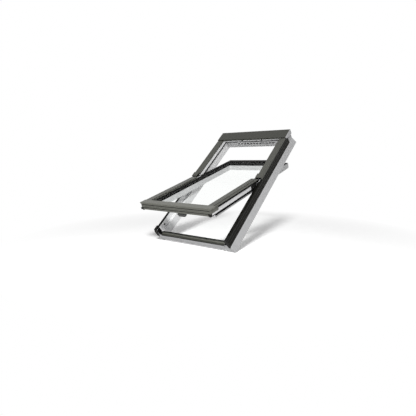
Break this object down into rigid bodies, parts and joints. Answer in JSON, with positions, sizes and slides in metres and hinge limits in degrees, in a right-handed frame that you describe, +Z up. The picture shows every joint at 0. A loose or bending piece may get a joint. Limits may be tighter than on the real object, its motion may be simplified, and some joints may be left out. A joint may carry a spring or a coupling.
{
  "type": "roof window",
  "caption": "Centre-pivot roof window: pitched white frame with hood and metal covers, glazed sash standing open on its pivot hinges.",
  "frame": {"origin": "centre of the sill's room-side face", "axes": "+Z up, +X to the right seen from outdoors, +Y into the roof; the window lies at a pitch of 40 degrees, rising along +Y"},
  "size_m": [0.708, 1.1388, 0.8586],
  "materials": {
    "white_plastic": "satin",
    "grey_cover": "matt",
    "black_metal": "satin",
    "black_rubber": "matt",
    "black_plastic": "satin",
    "grey_plastic": "satin",
    "glass": "polished",
    "spacer": "satin",
    "dark_steel": "satin",
    "steel": "brushed"
  },
  "bodies": {
    "frame": {"right_jamb": "white_plastic", "left_jamb": "white_plastic", "head": "white_plastic", "sill": "white_plastic", "sill_cover": "grey_cover", "sill_seal": "black_rubber", "sill_front_seal": "black_rubber", "right_side_track": "black_metal", "left_side_track": "black_metal", "right_track_cap": "black_plastic", "left_track_cap": "black_plastic", "right_side_seal": "black_rubber", "left_side_seal": "black_rubber", "right_side_stop": "white_plastic", "left_side_stop": "white_plastic", "stop_seal": "black_rubber", "right_upper_cover": "grey_cover", "left_upper_cover": "grey_cover", "hood": "grey_cover", "right_hood_cap": "black_plastic", "left_hood_cap": "black_plastic", "air_grille": "white_plastic", "right_frame_hinge": "dark_steel", "left_frame_hinge": "dark_steel", "frame_hinge_screws": "steel", "pivot_washers": "black_plastic", "striker_plate": "steel", "side_bushes": "black_plastic", "head_clips": "grey_plastic"},
    "sash": {"right_sash_hinge": "dark_steel", "left_sash_hinge": "dark_steel", "sash_hinge_screws": "steel", "right_stile": "white_plastic", "left_stile": "white_plastic", "bottom_rail": "white_plastic", "top_rail": "white_plastic", "right_lower_seal": "black_rubber", "left_lower_seal": "black_rubber", "upper_seal": "black_rubber", "outer_pane": "glass", "inner_pane": "glass", "pane_spacer": "spacer", "inner_glass_seal": "black_rubber", "outer_glass_seal": "black_rubber", "right_overlap_profile": "white_plastic", "left_overlap_profile": "white_plastic", "side_strips": "black_rubber", "right_side_cover": "grey_cover", "left_side_cover": "grey_cover", "bottom_cover": "grey_cover", "right_corner_cap": "black_plastic", "left_corner_cap": "black_plastic", "right_corner_wrap": "grey_cover", "left_corner_wrap": "grey_cover", "upper_trim": "black_plastic", "handle_plate": "grey_plastic", "latch_housing": "grey_plastic"},
    "handle": {"handle_lever": "grey_plastic"},
    "bolt": {"latch_bolt": "steel"},
    "flap": {"air_flap": "black_plastic"}
  },
  "joints": [
    {"name": "sash_pivot", "type": "hinge", "parent": "frame", "child": "sash", "pos_m": [0, 0.37661, 0.47527], "axis": [-1, 0, 0], "range_deg": [-24, 136]},
    {"name": "handle_turn", "type": "hinge", "parent": "sash", "child": "handle", "pos_m": [-0.048, -0.13167, 0.23798], "axis": [0, -0.2756, 0.9613], "range_deg": [0, 90]},
    {"name": "bolt_slide", "type": "slide", "parent": "sash", "child": "bolt", "axis": [0, -0.9613, -0.2756], "range_m": [0, 0.012]},
    {"name": "flap_swing", "type": "hinge", "parent": "frame", "child": "flap", "pos_m": [0, 0.82987, 0.75326], "axis": [1, 0, 0], "range_deg": [0, 40]}
  ],
  "couplings": [
    {"joint": "bolt_slide", "follows": "handle_turn", "m_per_rad": 0.007638}
  ]
}
